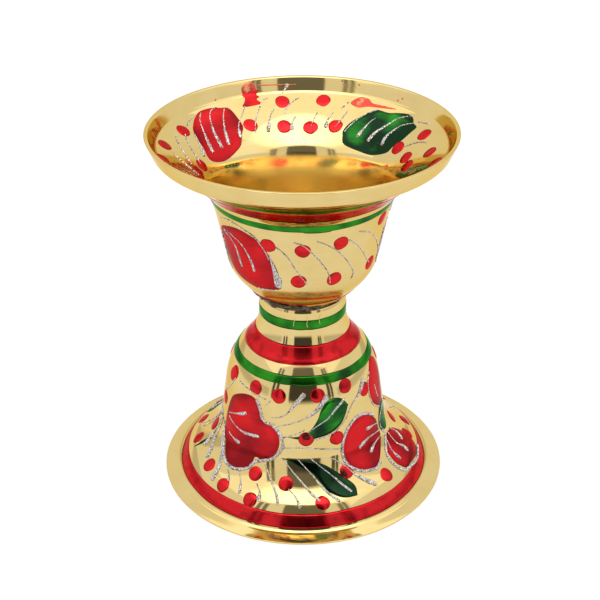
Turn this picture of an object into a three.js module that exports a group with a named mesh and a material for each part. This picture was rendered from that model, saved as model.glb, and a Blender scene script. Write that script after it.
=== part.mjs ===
// A pedestal diya, an oil lamp of spun brass: a bell base, a trumpet bowl soldered to
// its neck, and bands of coloured lacquer. Millimetres, +Z up, the base stands on z = 0.

import * as THREE from 'three';

// Sheet, coats and roundness
const bowlSheet = 1.1;
const baseSheet = 1.1;
const coatThickness = 0.12;
const turns = 48;
const stepsPerCurve = 4;

// Rim and flange: the flange is a hair narrower than the rim above it
const rimRadius = 45.0;
const flangeInset = 0.2;
const flangeRadius = rimRadius - flangeInset;

// Base: heights are above the table, and the skirt's places are measured in from the flange
const flangeWidth = 4.8;
const flangeEdge = 0.5;
const creaseRadius = flangeRadius - flangeWidth;
const creaseHeight = 1.3;
const skirtLean = 0.15;
const skirtFootRadius = creaseRadius - skirtLean;
const skirtFootHeight = 1.7;
const skirtWidth = 5.25;
const shelfRadius = skirtFootRadius - skirtWidth;
const shelfHeight = 8.1;
const bellFootRadius = 25.9;
const bellFootHeight = 19.2;
const bellTopRadius = 24.4;
const bellTopHeight = 31.0;
const waistRadius = 16.9;
const waistHeight = 47.2;
const neckRadius = 13.3;
const neckLength = 5.4;
const neckCorner = 0.35;
const baseHeight = 62.4;

// Bowl: heights are above its flat underside
const seatRadius = 10.0;
const cupFootRadius = 15.2;
const cupFootHeight = 2.4;
const cupWallLowRadius = 22.6;
const cupWallLowHeight = 13.2;
const cupWallHighRadius = 25.3;
const cupWallHighHeight = 26.7;
const throatRadius = 27.3;
const throatHeight = 33.6;
const lipLean = 1.7;
const lipFootRadius = rimRadius - lipLean;
const foldWidth = 2.1;
const flareRadius = lipFootRadius - foldWidth;
const flareHeight = 46.1;
const foldHeight = 2.1;
const lipFootHeight = flareHeight + foldHeight;
const lipHeight = 4.1;
const bowlHeight = lipFootHeight + lipHeight;

// Solder ring
const solderHeight = 2.6;
const solderBulge = 0.5;

// Bands: a drop is measured downwards from the top of the base or the end of the flare
const bowlRedDrop = 5.1;
const bowlRedWidth = 4.5;
const bowlBandGap = 1.9;
const bowlGreenWidth = 2.2;
const footLineGap = 1.2;
const footLineWidth = 0.7;
const neckGreenDrop = 3.4;
const neckGreenWidth = 3.3;
const shoulderRedDrop = 11.5;
const shoulderRedWidth = 4.8;
const shoulderBandGap = 2.5;
const shoulderGreenWidth = 2.4;
const footRedRise = 0.1;
const footRedWidth = 3.6;

const brass = new THREE.MeshStandardMaterial({ color: 0xd8b26a, roughness: 0.15, metalness: 1.0 });
const redLacquer = new THREE.MeshStandardMaterial({ color: 0xa80d16, roughness: 0.1, metalness: 0.0 });
const greenLacquer = new THREE.MeshStandardMaterial({ color: 0x155c16, roughness: 0.1, metalness: 0.0 });
const solderMetal = new THREE.MeshStandardMaterial({ color: 0x77736a, roughness: 0.45, metalness: 0.9 });

// Points of an outline are (radius, height), and outlines run upwards
function pointAt(radius, height) {
  return new THREE.Vector2(radius, height);
}

function along(start, degrees, distance) {
  const angle = THREE.MathUtils.degToRad(degrees);
  return pointAt(start.x + distance * Math.cos(angle), start.y + distance * Math.sin(angle));
}

function slopeOf(from, to) {
  return THREE.MathUtils.radToDeg(Math.atan2(to.y - from.y, to.x - from.x));
}

// A smooth curve that leaves and reaches its ends at the given slopes. How long it keeps
// to each slope is a share of the distance between the ends
function bend(start, startSlope, startHold, end, endSlope, endHold) {
  const reach = start.distanceTo(end);
  return new THREE.CubicBezierCurve(
    start,
    along(start, startSlope, startHold * reach),
    along(end, endSlope, -endHold * reach),
    end,
  );
}

function straight(start, end) {
  return new THREE.LineCurve(start, end);
}

function pointsOf(curves) {
  const path = new THREE.CurvePath();
  for (const curve of curves) path.add(curve);
  return path.getPoints(stepsPerCurve);
}

function bowlCurves() {
  const centre = pointAt(0, 0);
  const seat = pointAt(seatRadius, 0);
  const foot = pointAt(cupFootRadius, cupFootHeight);
  const wallLow = pointAt(cupWallLowRadius, cupWallLowHeight);
  const wallHigh = pointAt(cupWallHighRadius, cupWallHighHeight);
  const throat = pointAt(throatRadius, throatHeight);
  const flareEnd = pointAt(flareRadius, flareHeight);
  const lipFoot = pointAt(lipFootRadius, lipFootHeight);
  const rim = pointAt(rimRadius, bowlHeight);
  const wallSlope = slopeOf(wallLow, wallHigh);
  const footSlope = 45;
  const throatSlope = 69;
  const flareSlope = 31;
  return [
    straight(centre, seat),
    bend(seat, 0, 0.35, foot, footSlope, 0.28),
    bend(foot, footSlope, 0.26, wallLow, wallSlope, 0.37),
    straight(wallLow, wallHigh),
    bend(wallHigh, wallSlope, 0.36, throat, throatSlope, 0.24),
    bend(throat, throatSlope, 0.25, flareEnd, flareSlope, 0.26),
    bend(flareEnd, flareSlope, 0.4, lipFoot, slopeOf(lipFoot, rim), 0.4),
    straight(lipFoot, rim),
  ];
}

function baseCurves() {
  const edge = pointAt(flangeRadius, flangeEdge);
  const crease = pointAt(creaseRadius, creaseHeight);
  const skirtFoot = pointAt(skirtFootRadius, skirtFootHeight);
  const shelf = pointAt(shelfRadius, shelfHeight);
  const bellFoot = pointAt(bellFootRadius, bellFootHeight);
  const bellTop = pointAt(bellTopRadius, bellTopHeight);
  const waist = pointAt(waistRadius, waistHeight);
  const neckFoot = pointAt(neckRadius, baseHeight - neckLength);
  const neckTop = pointAt(neckRadius, baseHeight - neckCorner);
  const lid = pointAt(neckRadius - neckCorner, baseHeight);
  const centre = pointAt(0, baseHeight);
  const shelfSlope = 149;
  const bellFootSlope = 93;
  const bellTopSlope = 97;
  const waistSlope = 133;
  return [
    straight(edge, crease),
    straight(crease, skirtFoot),
    bend(skirtFoot, 118, 0.22, shelf, shelfSlope, 0.2),
    bend(shelf, shelfSlope, 0.25, bellFoot, bellFootSlope, 0.25),
    bend(bellFoot, bellFootSlope, 0.33, bellTop, bellTopSlope, 0.33),
    bend(bellTop, bellTopSlope, 0.5, waist, waistSlope, 0.3),
    bend(waist, waistSlope, 0.34, neckFoot, 90, 0.33),
    straight(neckFoot, neckTop),
    straight(neckTop, lid),
    straight(lid, centre),
  ];
}

// Adds a point to the outline at each given height, so that a band can end there
function withHeights(outline, heights) {
  const points = outline.map((point) => point.clone());
  for (const height of heights) {
    const above = points.findIndex((point, i) => i > 0 && points[i - 1].y < height && point.y >= height);
    const next = points[above];
    if (next.y - height < 1e-6) continue;
    const last = points[above - 1];
    const share = (height - last.y) / (next.y - last.y);
    points.splice(above, 0, last.clone().lerp(next, share));
  }
  return points;
}

// The outline moved sideways by a distance, to the left of its direction
function offset(points, distance) {
  const normals = points.slice(1).map((point, i) => {
    const step = point.clone().sub(points[i]).normalize();
    return new THREE.Vector2(-step.y, step.x);
  });
  return points.map((point, i) => {
    const before = normals[Math.max(i - 1, 0)];
    const after = normals[Math.min(i, normals.length - 1)];
    const scale = distance / (1 + before.dot(after));
    return before.clone().add(after).multiplyScalar(scale).add(point);
  });
}

function lathe(name, loop, material) {
  const geometry = new THREE.LatheGeometry(loop, turns);
  geometry.rotateX(Math.PI / 2);
  const mesh = new THREE.Mesh(geometry, material);
  mesh.name = name;
  return mesh;
}

function band(name, outline, bottom, width, material) {
  const top = bottom + width;
  const onBand = (point) => point.y > bottom - 1e-6 && point.y < top + 1e-6;
  const raised = offset(outline, -coatThickness).filter((_, i) => onBand(outline[i]));
  const under = outline.filter(onBand);
  return lathe(name, [...raised, ...under.reverse(), raised[0]], material);
}

// Where the bands start, by height
const bowlRedTop = flareHeight - bowlRedDrop;
const bowlRedBottom = bowlRedTop - bowlRedWidth;
const bowlGreenBottom = bowlRedBottom - bowlBandGap - bowlGreenWidth;
const footLineBottom = solderHeight + footLineGap;
const neckGreenBottom = baseHeight - neckGreenDrop - neckGreenWidth;
const shoulderRedBottom = baseHeight - shoulderRedDrop - shoulderRedWidth;
const shoulderGreenBottom = shoulderRedBottom - shoulderBandGap - shoulderGreenWidth;
const footRedBottom = skirtFootHeight + footRedRise;

const bowlOutline = withHeights(pointsOf(bowlCurves()), [
  solderHeight,
  footLineBottom,
  footLineBottom + footLineWidth,
  bowlGreenBottom,
  bowlGreenBottom + bowlGreenWidth,
  bowlRedBottom,
  bowlRedTop,
]);

const baseOutline = withHeights(pointsOf(baseCurves()), [
  footRedBottom,
  footRedBottom + footRedWidth,
  shoulderGreenBottom,
  shoulderGreenBottom + shoulderGreenWidth,
  shoulderRedBottom,
  shoulderRedBottom + shoulderRedWidth,
  neckGreenBottom,
  neckGreenBottom + neckGreenWidth,
]);

function bowl() {
  const inside = offset(bowlOutline, bowlSheet);
  const lipSlope = Math.atan2(lipHeight, lipLean);
  inside[inside.length - 1] = pointAt(rimRadius - bowlSheet / Math.sin(lipSlope), bowlHeight);
  return lathe('bowl', [...bowlOutline, ...inside.reverse()], brass);
}

// The flange stands flat on the table and thins towards its edge
function base() {
  const inside = offset(baseOutline, baseSheet);
  inside[0] = pointAt(flangeRadius, 0);
  inside[1] = pointAt(inside[1].x, 0);
  return lathe('base', [...inside.reverse(), ...baseOutline], brass);
}

// The ring fills the wedge between the rounded cup and the flat top of the neck
function solderJoint() {
  const cupSide = bowlOutline.filter((point) => point.x > seatRadius - 1e-6 && point.y < solderHeight + 1e-6);
  const top = cupSide[cupSide.length - 1];
  const foot = pointAt(neckRadius - neckCorner, 0);
  const middle = foot.clone().lerp(top, 0.5);
  middle.x += solderBulge;
  const face = new THREE.QuadraticBezierCurve(foot, middle, top).getPoints(stepsPerCurve);
  return lathe('solder_joint', [...face, ...cupSide.slice(0, -1).reverse(), face[0]], solderMetal);
}

const diya = new THREE.Group();
diya.add(base());
diya.add(band('foot_red_band', baseOutline, footRedBottom, footRedWidth, redLacquer));
diya.add(band('shoulder_green_band', baseOutline, shoulderGreenBottom, shoulderGreenWidth, greenLacquer));
diya.add(band('shoulder_red_band', baseOutline, shoulderRedBottom, shoulderRedWidth, redLacquer));
diya.add(band('neck_green_band', baseOutline, neckGreenBottom, neckGreenWidth, greenLacquer));

const top = new THREE.Group();
top.position.z = baseHeight;
top.add(solderJoint());
top.add(bowl());
top.add(band('bowl_foot_red_line', bowlOutline, footLineBottom, footLineWidth, redLacquer));
top.add(band('bowl_green_band', bowlOutline, bowlGreenBottom, bowlGreenWidth, greenLacquer));
top.add(band('bowl_red_band', bowlOutline, bowlRedBottom, bowlRedWidth, redLacquer));
diya.add(top);

export default diya;
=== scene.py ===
# %% [markdown]
# A pedestal diya is an oil lamp on a foot. Two shells of spun brass are soldered neck to
# bowl, polished like a mirror and then painted by hand: translucent red and green
# lacquer for bands, petals, leaves and dots, and silver glitter paint squeezed from a
# cone for the fine strokes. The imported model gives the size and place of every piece.
# This script dresses it: fine shells, coats with soft edges, and finishes.

# %% Load the frame
import bisect
import math

import bmesh
import bpy
from mathutils import Euler, Matrix, Vector, noise


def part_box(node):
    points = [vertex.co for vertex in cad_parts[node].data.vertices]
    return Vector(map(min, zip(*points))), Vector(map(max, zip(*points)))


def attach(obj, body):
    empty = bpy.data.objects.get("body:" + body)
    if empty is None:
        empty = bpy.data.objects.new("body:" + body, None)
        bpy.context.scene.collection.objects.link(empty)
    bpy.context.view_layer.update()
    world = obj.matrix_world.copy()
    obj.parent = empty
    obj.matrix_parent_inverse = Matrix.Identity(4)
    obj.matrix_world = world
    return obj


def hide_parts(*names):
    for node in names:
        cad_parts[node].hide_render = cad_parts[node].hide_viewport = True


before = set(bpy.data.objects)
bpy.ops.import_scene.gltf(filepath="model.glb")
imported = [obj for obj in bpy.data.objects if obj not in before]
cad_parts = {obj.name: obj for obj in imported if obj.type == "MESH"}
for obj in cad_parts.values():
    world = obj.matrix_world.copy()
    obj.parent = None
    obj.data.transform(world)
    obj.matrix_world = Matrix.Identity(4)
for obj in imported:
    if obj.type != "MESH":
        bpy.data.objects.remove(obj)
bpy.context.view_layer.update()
MM = 0.001

# %% [markdown]
# The camera comes first, because every look is judged through it. The rims, bands and
# flange of a turned piece are circles, so their ellipses in the picture fix the camera:
# how far off it is, how high, how steeply it looks down and how long its lens is. The
# bowl in the photograph was soldered on with a slight lean. The model is straight, so a
# small roll of the camera takes up half of that lean.

# %% Camera
CAMERA_PLACE = (-0.8, -332.0, 246.0)
CAMERA_DOWN = math.radians(29.45)
CAMERA_ROLL = math.radians(-0.25)
CAMERA_LENS = 74.7
SENSOR_WIDTH = 36
NEAREST_SEEN = 10

camera_data = bpy.data.cameras.new("camera")
camera_data.lens = CAMERA_LENS
camera_data.sensor_width = SENSOR_WIDTH
camera_data.clip_start = NEAREST_SEEN * MM
camera = bpy.data.objects.new("camera", camera_data)
tilt = Euler((math.pi / 2 - CAMERA_DOWN, 0, 0)).to_matrix() @ Matrix.Rotation(CAMERA_ROLL, 3, "Z")
camera.location = Vector(CAMERA_PLACE) * MM
camera.rotation_euler = tilt.to_euler()
bpy.context.scene.collection.objects.link(camera)
bpy.context.scene.camera = camera
bpy.context.scene.view_settings.view_transform = "Standard"
print("camera, mm from the middle of the foot:", round(camera.location.length / MM))

# %% [markdown]
# Shader maths reads best as arithmetic. Value wraps a socket, so that an expression such
# as 1 - mask adds its Math nodes, whichever side the plain number stands on. Its between
# method is the ramp that turns a pattern into a mask.

# %% Numbers in a shader
def operator(operation):
    return lambda value, other: value.finish.maths(operation, value, other)


def reflected(operation):
    return lambda value, other: value.finish.maths(operation, other, value)


class Value:
    """A number in a shader. Arithmetic on it adds Math nodes."""

    def __init__(self, finish, socket):
        self.finish = finish
        self.socket = socket

    __add__ = operator("ADD")
    __radd__ = reflected("ADD")
    __sub__ = operator("SUBTRACT")
    __rsub__ = reflected("SUBTRACT")
    __mul__ = operator("MULTIPLY")
    __rmul__ = reflected("MULTIPLY")
    __truediv__ = operator("DIVIDE")
    __rtruediv__ = reflected("DIVIDE")

    def clamped(self):
        low = self.finish.maths("MAXIMUM", self, 0.0)
        return self.finish.maths("MINIMUM", low, 1.0)

    def between(self, low, high):
        """0 below low, 1 above high, and a straight ramp between them."""
        return ((self - low) / (high - low)).clamped()


# %% [markdown]
# Finish holds one material. Its node method adds any node in one line, and the methods
# after it are the few kinds of node that painted metal needs. Patterns are laid out in
# Object coordinates, in millimetres, so that each has its real size on the lamp.

# %% Finishes
class Finish:
    """One material and its nodes."""

    def __init__(self, name):
        self.material = bpy.data.materials.new(name)
        self.material.use_nodes = True
        self.tree = self.material.node_tree
        self.tree.nodes.clear()

    def node(self, kind, settings=None, inputs=None, output=0):
        made = self.tree.nodes.new(kind)
        for name, setting in (settings or {}).items():
            setattr(made, name, setting)
        for name, given in (inputs or {}).items():
            self.feed(made.inputs[name], given)
        return Value(self, made.outputs[output]) if len(made.outputs) else None

    def feed(self, socket, given):
        if isinstance(given, Value):
            self.tree.links.new(given.socket, socket)
        else:
            socket.default_value = given

    def maths(self, operation, first, second):
        return self.node("ShaderNodeMath", {"operation": operation}, {0: first, 1: second})

    def vector(self, operation, first, second=(0, 0, 0), output=0):
        settings = {"operation": operation}
        return self.node("ShaderNodeVectorMath", settings, {0: first, 1: second}, output)

    def scaled(self, first, factor):
        settings = {"operation": "SCALE"}
        return self.node("ShaderNodeVectorMath", settings, {0: first, "Scale": factor})

    def mix(self, factor, first, second):
        settings = {"data_type": "RGBA"}
        return self.node("ShaderNodeMix", settings, {0: factor, 6: first, 7: second}, 2)

    def place(self):
        """Where the point is on the lamp, in millimetres."""
        local = self.node("ShaderNodeTexCoord", output="Object")
        return self.scaled(local, 1 / MM)

    def radius(self, place):
        """How far the point is from the lamp's axis, in millimetres."""
        flat = self.vector("MULTIPLY", place, (1, 1, 0))
        return self.vector("LENGTH", flat, output="Value")

    def height(self, place):
        return self.node("ShaderNodeSeparateXYZ", None, {0: place}, "Z")

    def turned(self, place, across, round_share):
        """A place on the turning: rings across it, and a little change round it."""
        rings = {"X": self.radius(place) * across, "Y": self.height(place) * across}
        ring = self.node("ShaderNodeCombineXYZ", None, rings)
        return self.vector("ADD", ring, self.scaled(place, round_share))

    def noise(self, place, scale, detail=2.0, roughness=0.5):
        inputs = {"Vector": place, "Scale": scale, "Detail": detail, "Roughness": roughness}
        return self.node("ShaderNodeTexNoise", None, inputs, "Fac")

    def bump(self, height, depth, under=None):
        """A bump of the given depth in millimetres, on top of another one."""
        inputs = {"Height": height, "Distance": depth * MM, "Strength": 1.0}
        if under is not None:
            inputs["Normal"] = under
        return self.node("ShaderNodeBump", None, inputs)

    def emission(self, strength):
        return self.node("ShaderNodeEmission", None, {"Strength": strength})

    def wired(self, shader):
        """The material, once its last shader has been wired to its output."""
        self.node("ShaderNodeOutputMaterial", None, {"Surface": shader})
        print("finish:", self.material.name, "nodes:", len(self.tree.nodes))
        return self.material

    def principled(self, inputs):
        return self.wired(self.node("ShaderNodeBsdfPrincipled", None, inputs))


# %% [markdown]
# Brass that has been spun on a lathe and then buffed keeps faint rings from the tool,
# because the tool passes over each ring once. They are too fine to model, so they are a
# bump that depends on the radius and height only, over a surface that is a mirror. A
# second, slower set of rings bends the reflections, as hand pressure on the tool does.
# The wall of the bowl is buffed less than the rest, so it mirrors less sharply.

# %% Brass
BRASS_PALE = (0.735, 0.575, 0.255, 1)
BRASS_DEEP = (0.69, 0.505, 0.19, 1)
BRASS_EDGE = (0.9, 0.74, 0.45, 1)
FINE_RINGS = 2.4
FINE_RING_DEPTH = 0.002
SLOW_RINGS = 0.35
SLOW_RING_DEPTH = 0.015
SMUDGES = 0.09
MIRROR_ROUGHNESS = 0.06
SMUDGE_ROUGHNESS = 0.08
WALL_ROUGHNESS = 0.1
WALL_STARTS = (62.0, 66.0)
WALL_ENDS = (93.0, 98.0)


def polished_brass():
    brass = Finish("polished_brass")
    place = brass.place()
    height = brass.height(place)
    fine_place = brass.turned(place, across=1.0, round_share=0.02)
    slow_place = brass.turned(place, across=1.0, round_share=0.004)
    fine_rings = brass.noise(fine_place, FINE_RINGS, 3.0, 0.6)
    slow_rings = brass.noise(slow_place, SLOW_RINGS, 1.0)
    smudges = brass.noise(place, SMUDGES, 3.0, 0.6)
    tarnish = (smudges * 0.75 + fine_rings * 0.25).between(0.35, 0.7)
    wall = height.between(*WALL_STARTS) * (1.0 - height.between(*WALL_ENDS))
    buffed = smudges.between(0.45, 0.8) * SMUDGE_ROUGHNESS + MIRROR_ROUGHNESS
    surface = brass.bump(fine_rings, FINE_RING_DEPTH, brass.bump(slow_rings, SLOW_RING_DEPTH))
    return brass.principled({
        "Base Color": brass.mix(tarnish, BRASS_PALE, BRASS_DEEP),
        "Metallic": 1.0,
        "Roughness": buffed + wall * WALL_ROUGHNESS,
        "Specular Tint": BRASS_EDGE,
        "Normal": surface,
    })


brass = polished_brass()

# %% [markdown]
# The red and the green are lacquer tinted with dye, so the brass shines through them:
# they act as a coloured metal under a clear coat. The brush leaves them thicker in some
# places, and there the colour is deeper. Solid paint would hide the reflections that
# show through the bands in real life. Each colour below is three: where the coat is thin,
# where it is thick, and at a glancing angle.

# %% Lacquer
RED_EDGE = (0.75, 0.25, 0.25, 1)
GREEN_EDGE = (0.3, 0.55, 0.25, 1)
RED = [(0.62, 0.01, 0.014, 1), (0.25, 0.002, 0.006, 1), RED_EDGE]
WIPED_RED = [(0.74, 0.3, 0.13, 1), (0.66, 0.07, 0.05, 1), RED_EDGE]
RED_OVER_GREEN = [(0.07, 0.01, 0.008, 1), (0.02, 0.003, 0.004, 1), RED_EDGE]
BAND_GREEN = [(0.02, 0.25, 0.008, 1), (0.003, 0.05, 0.003, 1), GREEN_EDGE]
LEAF_GREEN = [(0.02, 0.26, 0.015, 1), (0.003, 0.025, 0.007, 1), GREEN_EDGE]
BRUSH_MARKS = 1.1
BRUSH_MARK_DEPTH = 0.008
POOL_DEPTH = 0.05
RIM_SHADE = 0.5


def lacquer(name, colours, thickening, pools):
    """thickening is where the pattern of pools turns from thin to thick, and pools is the
    scale of that pattern."""
    thin, thick, glancing = colours
    coat = Finish(name)
    place = coat.place()
    brush_place = coat.turned(place, across=0.6, round_share=0.25)
    brushed = coat.noise(brush_place, BRUSH_MARKS, 3.0, 0.55)
    pooled = coat.noise(place, pools, 1.0)
    edge = coat.node("ShaderNodeAttribute", {"attribute_name": "edge"}, None, "Fac")
    depth = (pooled * 0.88 + brushed * 0.12).between(*thickening)
    rim = edge.between(0.8, 1.0) * RIM_SHADE
    return coat.principled({
        "Base Color": coat.mix((depth + rim).clamped(), thin, thick),
        "Metallic": 1.0,
        "Roughness": 0.12 + brushed * 0.12,
        "Specular Tint": glancing,
        "Normal": coat.bump(brushed, BRUSH_MARK_DEPTH, coat.bump(pooled, POOL_DEPTH)),
        "Coat Weight": 0.25,
        "Coat Roughness": 0.06,
        "Coat IOR": 1.45,
    })


red_lacquer = lacquer("red_lacquer", RED, (0.44, 0.66), 0.075)
red_dab = lacquer("red_dab", RED, (0.5, 0.85), 0.3)
wiped_red = lacquer("wiped_red", WIPED_RED, (0.35, 0.55), 0.5)
overlap_lacquer = lacquer("overlap_lacquer", RED_OVER_GREEN, (0.4, 0.7), 0.16)
green_lacquer = lacquer("green_lacquer", BAND_GREEN, (0.4, 0.7), 0.16)
leaf_lacquer = lacquer("leaf_lacquer", LEAF_GREEN, (0.34, 0.52), 0.08)

# %% [markdown]
# Glitter paint is clear glue full of cut foil. Each flake lies at its own angle, so one
# is bright while the next is dark. Voronoi cells stand for the flakes: a random vector
# for each cell tilts a flat facet, which is what the bump sees. Each cell's colour is also
# set bright or dark at random: painted glints and painted shade, standing in for the
# light that each flake's angle catches.

# %% Glitter
# Flake colours: a painted glint and a painted shade, chosen per flake at random.
GLITTER_PAINTED_GLINT = (0.92, 0.9, 0.88, 1)
GLITTER_PAINTED_SHADE = (0.12, 0.11, 0.12, 1)
FLAKE = 0.22
FACET_DEPTH = 1.2


def silver_glitter():
    foil = Finish("silver_glitter")
    place = foil.scaled(foil.place(), 1 / FLAKE)
    inputs = {"Vector": place, "Scale": 1.0}
    cell = foil.node("ShaderNodeTexVoronoi", None, inputs, "Color")
    middle = foil.node("ShaderNodeTexVoronoi", None, inputs, "Position")
    tilt = foil.vector("SUBTRACT", cell, (0.5, 0.5, 0.5))
    offset = foil.vector("SUBTRACT", place, middle)
    facet = foil.vector("DOT_PRODUCT", tilt, offset, "Value")
    shade = foil.node("ShaderNodeSeparateXYZ", None, {0: cell}, "X")
    return foil.principled({
        "Base Color": foil.mix(shade.between(0.25, 0.5), GLITTER_PAINTED_SHADE, GLITTER_PAINTED_GLINT),
        "Metallic": 0.85,
        "Roughness": 0.3,
        "Normal": foil.bump(facet, FLAKE * FACET_DEPTH),
        "Coat Weight": 0.5,
        "Coat Roughness": 0.1,
    })


glitter = silver_glitter()

# %% [markdown]
# Soft solder cools dull and grey, with a skin of flux and a few bright spots. Its dark
# colour is partly painted shade, from the bowl that overhangs the joint, and its light
# spots are partly painted glints.

# %% Solder
# Solder colours: the dark one is partly painted shade, the light one partly painted glints.
SOLDER_AND_PAINTED_SHADE = (0.05, 0.045, 0.035, 1)
SOLDER_AND_PAINTED_GLINT = (0.42, 0.4, 0.36, 1)
LUMPS = 0.9
LUMP_DEPTH = 0.12
GRAIN = 5.0
GRAIN_DEPTH = 0.03


def dull_solder():
    solder = Finish("dull_solder")
    place = solder.place()
    lumps = solder.noise(place, LUMPS, 4.0, 0.6)
    grain = solder.noise(place, GRAIN, 2.0)
    # Where the light colour goes: partly bare solder, partly painted glints.
    bright = (lumps * 0.6 + grain * 0.4).between(0.46, 0.7)
    return solder.principled({
        "Base Color": solder.mix(bright, SOLDER_AND_PAINTED_SHADE, SOLDER_AND_PAINTED_GLINT),
        "Metallic": 0.85,
        "Roughness": 0.6 - bright * 0.3,
        "Normal": solder.bump(grain, GRAIN_DEPTH, solder.bump(lumps, LUMP_DEPTH)),
    })


solder = dull_solder()

# %% [markdown]
# A spun shell is one outline turned round the axis. The outlines are the model's own:
# straight runs, and bends that leave and reach their ends at given slopes, in degrees,
# and hold each slope for a share of the way. Each point is (radius, height) in
# millimetres, and the fine steps keep the mirror smooth. The overall sizes come from the
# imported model.

# %% Outlines
BEND_STEPS = 24
SHEET = 1.1
base_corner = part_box("base")[1] / MM
bowl_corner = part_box("bowl")[1] / MM
BASE_HEIGHT = round(base_corner.z, 2)
FLANGE_RADIUS = round(base_corner.x, 2)
RIM_RADIUS = round(bowl_corner.x, 2)
RIM_HEIGHT = round(bowl_corner.z, 2)
NECK_RADIUS = 13.3
FLANGE_INSIDE = 39.2


def bend(start, start_slope, start_hold, end, end_slope, end_hold):
    start, end = Vector(start), Vector(end)
    reach = (end - start).length
    first, last = math.radians(start_slope), math.radians(end_slope)
    leave = start + Vector((math.cos(first), math.sin(first))) * start_hold * reach
    arrive = end - Vector((math.cos(last), math.sin(last))) * end_hold * reach
    points = []
    for step in range(1, BEND_STEPS + 1):
        t = step / BEND_STEPS
        s = 1 - t
        points.append(s**3 * start + 3 * s * s * t * leave + 3 * s * t * t * arrive + t**3 * end)
    return points


def run(start, end, step=1.5):
    start, end = Vector(start), Vector(end)
    count = max(1, round((end - start).length / step))
    return [start.lerp(end, i / count) for i in range(1, count + 1)]


def slope(start, end):
    return math.degrees(math.atan2(end[1] - start[1], end[0] - start[0]))


def bowl_outline():
    seat = (10.0, BASE_HEIGHT)
    foot = (15.2, BASE_HEIGHT + 2.4)
    wall_low = (22.6, BASE_HEIGHT + 13.2)
    wall_high = (25.3, BASE_HEIGHT + 26.7)
    throat = (27.3, BASE_HEIGHT + 33.6)
    flare_end = (41.2, BASE_HEIGHT + 46.1)
    lip_foot = (43.3, BASE_HEIGHT + 48.2)
    rim = (RIM_RADIUS, RIM_HEIGHT)
    foot_slope, throat_slope, flare_slope = 45, 69, 31
    wall_slope, lip_slope = slope(wall_low, wall_high), slope(lip_foot, rim)
    return [
        Vector(seat),
        *bend(seat, 0, 0.35, foot, foot_slope, 0.28),
        *bend(foot, foot_slope, 0.26, wall_low, wall_slope, 0.37),
        *run(wall_low, wall_high),
        *bend(wall_high, wall_slope, 0.36, throat, throat_slope, 0.24),
        *bend(throat, throat_slope, 0.25, flare_end, flare_slope, 0.26),
        *bend(flare_end, flare_slope, 0.4, lip_foot, lip_slope, 0.4),
        *run(lip_foot, rim),
    ]


def base_outline():
    edge = (FLANGE_RADIUS, 0.5)
    crease = (40.0, 1.3)
    skirt_foot = (39.85, 1.7)
    shelf = (34.6, 8.1)
    bell_foot = (25.9, 19.2)
    bell_top = (24.4, 31.0)
    waist = (16.9, 47.2)
    neck_foot = (NECK_RADIUS, BASE_HEIGHT - 5.4)
    neck_top = (NECK_RADIUS, BASE_HEIGHT - 0.35)
    lid = (12.95, BASE_HEIGHT)
    skirt_slope, shelf_slope, foot_slope, top_slope, waist_slope = 118, 149, 93, 97, 133
    return [
        Vector(edge),
        *run(edge, crease),
        *run(crease, skirt_foot, 0.4),
        *bend(skirt_foot, skirt_slope, 0.22, shelf, shelf_slope, 0.2),
        *bend(shelf, shelf_slope, 0.25, bell_foot, foot_slope, 0.25),
        *bend(bell_foot, foot_slope, 0.33, bell_top, top_slope, 0.33),
        *bend(bell_top, top_slope, 0.5, waist, waist_slope, 0.3),
        *bend(waist, waist_slope, 0.34, neck_foot, 90, 0.33),
        *run(neck_foot, neck_top),
        *run(neck_top, lid, 0.2),
    ]


def beside(points, distance):
    """The outline moved sideways, to the left of its direction."""
    normals = []
    for start, end in zip(points, points[1:]):
        step = (end - start).normalized()
        normals.append(Vector((-step.y, step.x)))
    shifted = []
    for i, point in enumerate(points):
        before = normals[max(i - 1, 0)]
        after = normals[min(i, len(normals) - 1)]
        shifted.append(point + (before + after) * distance / (1 + before.dot(after)))
    return shifted


def flat_underneath(inside):
    """The flange stands flat on the table and thins towards its edge."""
    crease = min(range(len(inside)), key=lambda i: abs(inside[i].x - FLANGE_INSIDE))
    return [Vector((FLANGE_RADIUS, 0)), Vector((FLANGE_INSIDE, 0)), *inside[crease + 1:]]


bowl_outside = bowl_outline()
bowl_inside = beside(bowl_outside, SHEET)
lip_rise = math.radians(slope(bowl_outside[-2], bowl_outside[-1]))
bowl_inside[-1] = Vector((RIM_RADIUS - SHEET / math.sin(lip_rise), RIM_HEIGHT))
base_outside = base_outline()
base_inside = flat_underneath(beside(base_outside, SHEET))
print("outline points:", len(bowl_outside), "for the bowl and", len(base_outside), "for the base")

# %% [markdown]
# A shell's section is a closed loop, so spinning it gives a closed wall. The cut edges of
# the sheet are filed round, which catches a thin line of light, so each loop is eased at
# its rim before it is spun.

# %% Spun shells
TURNS = 192
LIP_EASE = 0.35
FLANGE_EASE = 0.15
SAME_PLACE = 1e-6


def eased(before, corner, after, ease, steps=4):
    """A corner of the section filed round, as a short curve."""
    first = corner + (before - corner).normalized() * ease
    last = corner + (after - corner).normalized() * ease
    points = []
    for step in range(steps + 1):
        t = step / steps
        points.append(first.lerp(corner, t).lerp(corner.lerp(last, t), t))
    return points


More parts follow.
